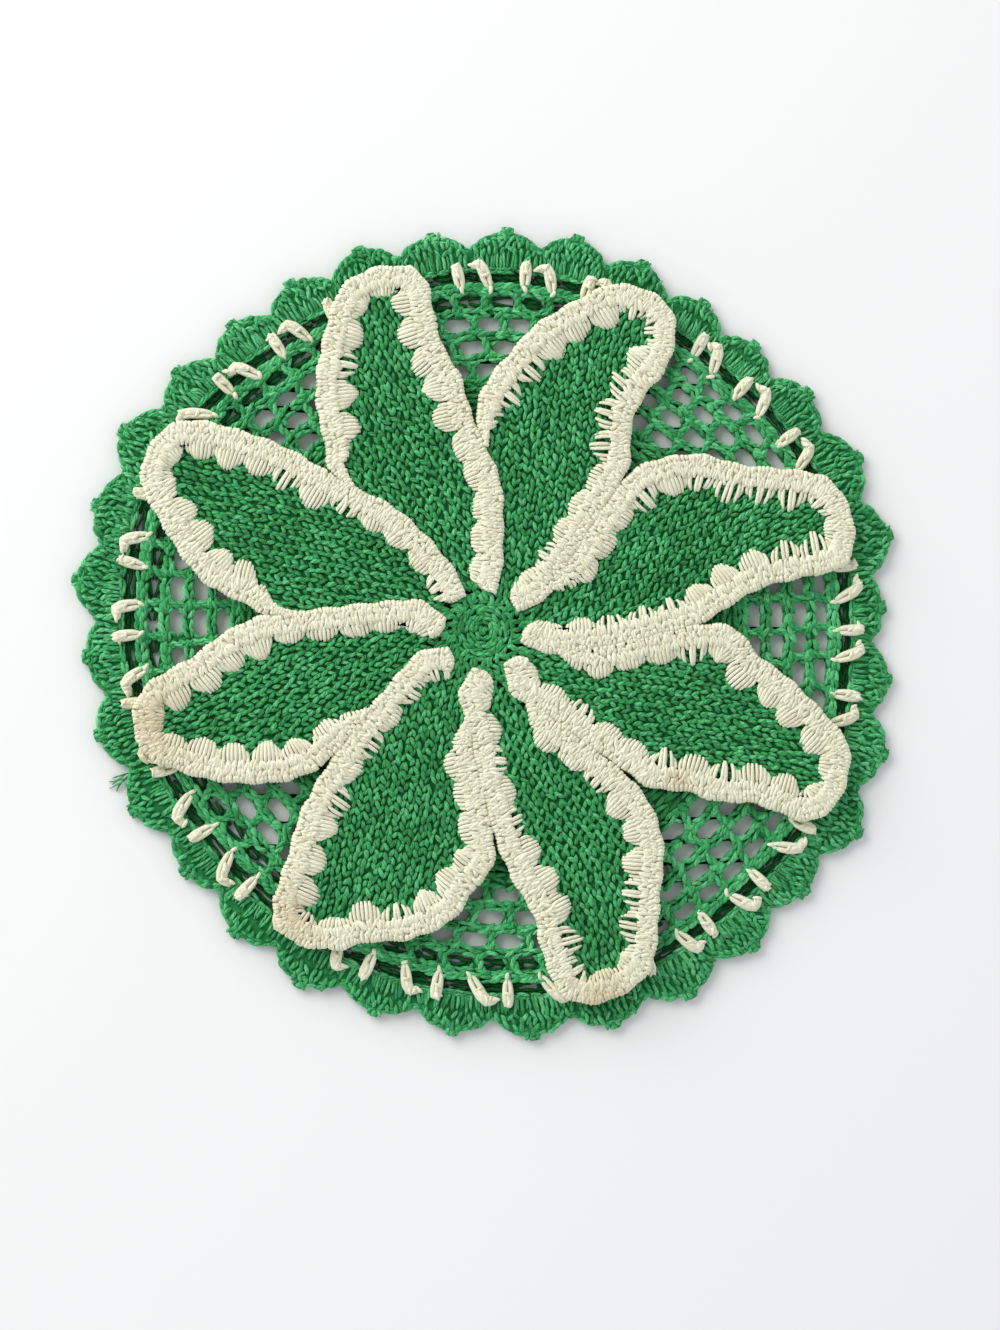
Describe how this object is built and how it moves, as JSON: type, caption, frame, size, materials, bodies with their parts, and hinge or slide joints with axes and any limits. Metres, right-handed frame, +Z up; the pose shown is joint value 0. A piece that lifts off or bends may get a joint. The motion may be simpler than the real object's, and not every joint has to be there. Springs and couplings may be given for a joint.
{
  "type": "lace doily",
  "caption": "Round crocheted doily that lies flat: an openwork mat with a ladder round and a scalloped edging, and a pinwheel of raised leaf-shaped petals with thick contrasting borders.",
  "frame": {"origin": "on the table under the doily, at the middle of its outline", "axes": "+Z up out of the petals; +X to the right and +Y away from the front as it lies in the picture"},
  "size_m": [0.181, 0.1788, 0.006],
  "materials": {
    "green_yarn": "matt cotton crochet yarn, kelly green, slightly glossy twist",
    "ecru_yarn": "matt cotton crochet yarn, ecru, lightly aged and stained"
  },
  "bodies": {
    "root": {"ground": "green_yarn", "ladder": "ecru_yarn", "edging": "green_yarn", "petal_1": "green_yarn", "petal_2": "green_yarn", "petal_3": "green_yarn", "petal_4": "green_yarn", "petal_5": "green_yarn", "petal_6": "green_yarn", "petal_7": "green_yarn", "petal_8": "green_yarn", "petal_edge_1": "ecru_yarn", "petal_edge_2": "ecru_yarn", "petal_edge_3": "ecru_yarn", "petal_edge_4": "ecru_yarn", "petal_edge_5": "ecru_yarn", "petal_edge_6": "ecru_yarn", "petal_edge_7": "ecru_yarn", "petal_edge_8": "ecru_yarn"}
  },
  "joints": []
}
